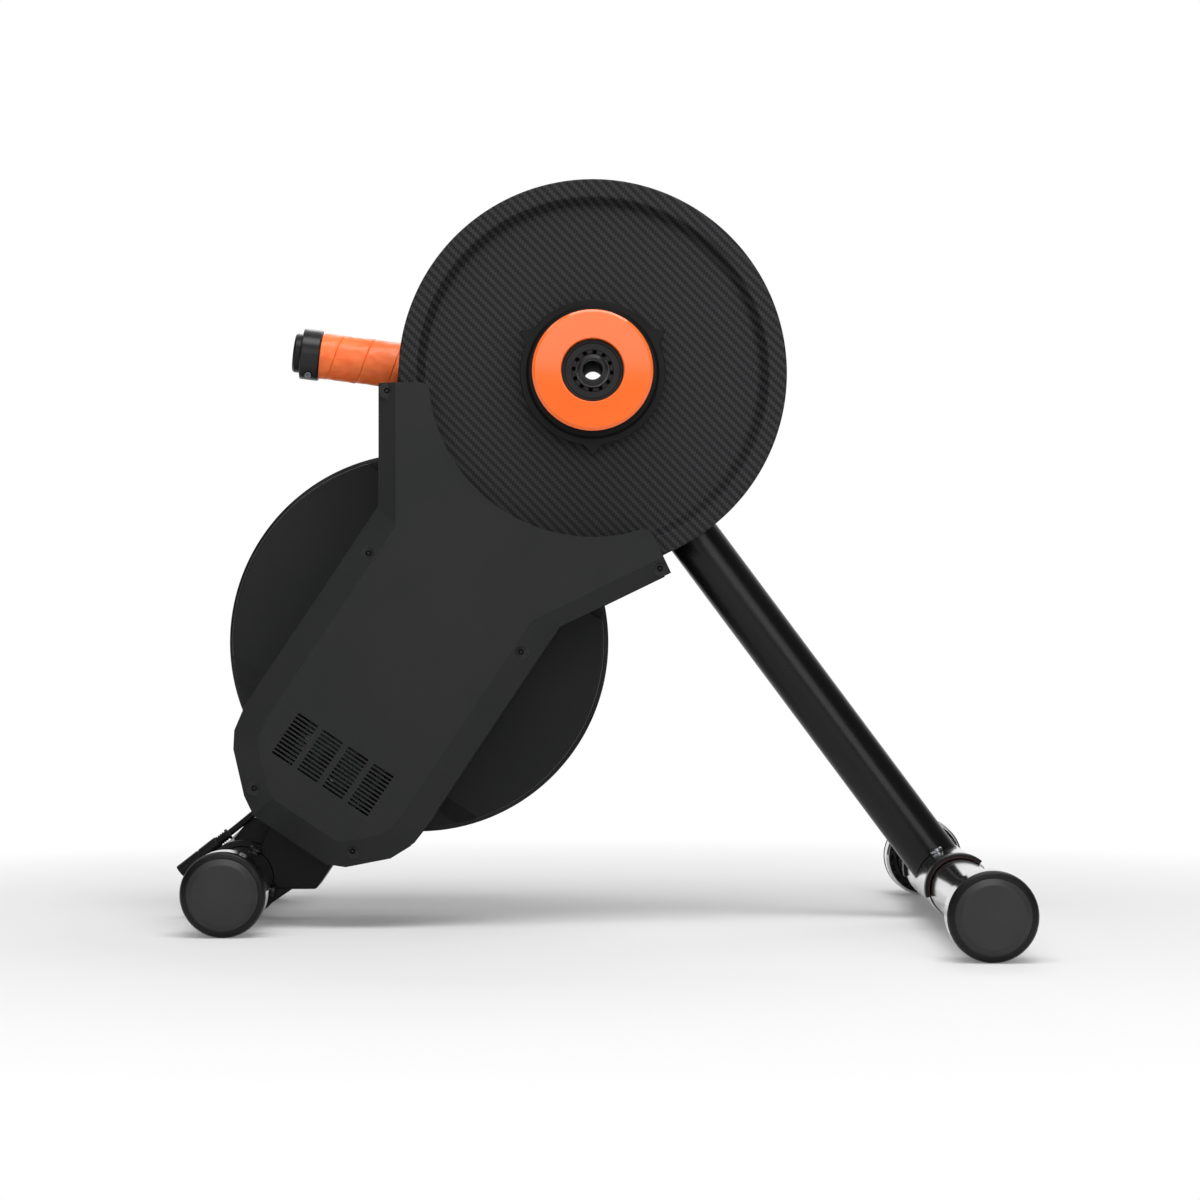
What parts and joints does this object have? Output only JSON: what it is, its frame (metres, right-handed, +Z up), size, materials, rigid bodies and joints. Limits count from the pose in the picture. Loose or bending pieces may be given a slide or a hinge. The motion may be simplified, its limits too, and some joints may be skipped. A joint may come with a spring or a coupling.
{
  "type": "direct drive bike trainer",
  "caption": "Direct drive bike trainer: hub with a single cog and belt pulley, flywheel with magnetic brake behind a vented guard, strut, two crossbars and a taped carry handle.",
  "frame": {"origin": "centre of the footprint, on the floor under the end caps", "axes": "+X to the front of the bike, +Y away from the cog side, +Z up"},
  "size_m": [0.5162, 0.471, 0.463],
  "materials": {
    "frame_paint": "gloss black paint",
    "cover_plastic": "fine textured satin black",
    "circuit_board": "green board lacquer",
    "fastener_steel": "dark steel screws",
    "polished_tube": "polished",
    "collar_plastic": "satin black",
    "pulley_composite": "twill weave under a satin lacquer",
    "belt_rubber": "ribbed rubber",
    "machined_steel": "machined",
    "flywheel_iron": "black coated casting",
    "coil_copper": "enamelled copper wire",
    "guard_black": "satin black",
    "guard_orange": "satin orange",
    "ring_black": "black anodised look",
    "orange_tape": "wound grip tape",
    "clamp_black": "satin black",
    "foot_rubber": "matte black",
    "lead_rubber": "matte black"
  },
  "bodies": {
    "stand": {"main_frame": "frame_paint", "front_cover": "cover_plastic", "control_board": "circuit_board", "front_strut": "frame_paint", "strut_bolt": "fastener_steel", "front_crossbar": "polished_tube", "front_sleeve": "polished_tube", "sleeve_collar_near": "collar_plastic", "sleeve_collar_far": "collar_plastic", "saddle_bolt": "fastener_steel", "rear_crossbar": "polished_tube", "rear_foot_bolt_1": "fastener_steel", "rear_foot_bolt_2": "fastener_steel", "rear_foot_block": "frame_paint", "drive_belt": "belt_rubber", "idler_bolt": "machined_steel", "flywheel_bearing_inner": "machined_steel", "flywheel_bearing_outer": "machined_steel", "flywheel_shroud": "cover_plastic", "brake_core": "machined_steel", "brake_coils": "coil_copper", "hub_axle": "machined_steel", "pulley_bearing_inner": "machined_steel", "pulley_bearing_outer": "machined_steel", "freehub_bearing": "machined_steel", "drive_end_cap": "machined_steel", "far_end_cap": "machined_steel", "handle_bar": "machined_steel", "handle_tape": "orange_tape", "handle_clamp": "clamp_black", "clamp_screw": "fastener_steel", "handle_plug": "foot_rubber", "lead_gland": "lead_rubber", "power_lead": "lead_rubber", "lead_connector": "lead_rubber", "cover_screw_1": "fastener_steel", "cover_screw_2": "fastener_steel", "cover_screw_3": "fastener_steel", "cover_screw_4": "fastener_steel", "cover_screw_5": "fastener_steel", "cover_screw_6": "fastener_steel", "rear_cap_near": "foot_rubber", "rear_band_near": "polished_tube", "rear_cap_far": "foot_rubber", "rear_band_far": "polished_tube"},
    "flywheel_set": {"flywheel": "flywheel_iron", "flywheel_shaft": "machined_steel", "flywheel_nut": "machined_steel", "small_pulley": "machined_steel"},
    "pulley": {"drive_pulley": "pulley_composite"},
    "idler": {"idler_pulley": "machined_steel"},
    "freehub": {"freehub_body": "machined_steel", "cog": "machined_steel", "inner_guard": "guard_black", "outer_guard": "guard_orange", "lock_ring": "ring_black"},
    "near_foot": {"front_cap_near": "foot_rubber", "front_band_near": "polished_tube"},
    "far_foot": {"front_cap_far": "foot_rubber", "front_band_far": "polished_tube"}
  },
  "joints": [
    {"name": "flywheel_spin", "type": "hinge", "parent": "stand", "child": "flywheel_set", "pos_m": [-0.11387, 0, 0.17514], "axis": [0, 1, 0], "continuous": true},
    {"name": "pulley_spin", "type": "hinge", "parent": "stand", "child": "pulley", "pos_m": [-0.0015, 0, 0.343], "axis": [0, 1, 0], "continuous": true},
    {"name": "idler_spin", "type": "hinge", "parent": "stand", "child": "idler", "pos_m": [-0.07388, 0, 0.15554], "axis": [0, 1, 0], "continuous": true},
    {"name": "freehub_spin", "type": "hinge", "parent": "stand", "child": "freehub", "pos_m": [-0.0015, 0, 0.343], "axis": [0, 1, 0], "continuous": true},
    {"name": "near_foot_twist", "type": "hinge", "parent": "stand", "child": "near_foot", "pos_m": [0.224, -0.224, 0.026], "axis": [0, 1, 0], "range_deg": [-90, 90]},
    {"name": "far_foot_twist", "type": "hinge", "parent": "stand", "child": "far_foot", "pos_m": [0.224, 0.224, 0.026], "axis": [0, 1, 0], "range_deg": [-90, 90]}
  ],
  "couplings": [
    {"joint": "pulley_spin", "follows": "flywheel_spin", "ratio": 0.16709},
    {"joint": "idler_spin", "follows": "flywheel_spin", "ratio": -1.4895}
  ]
}
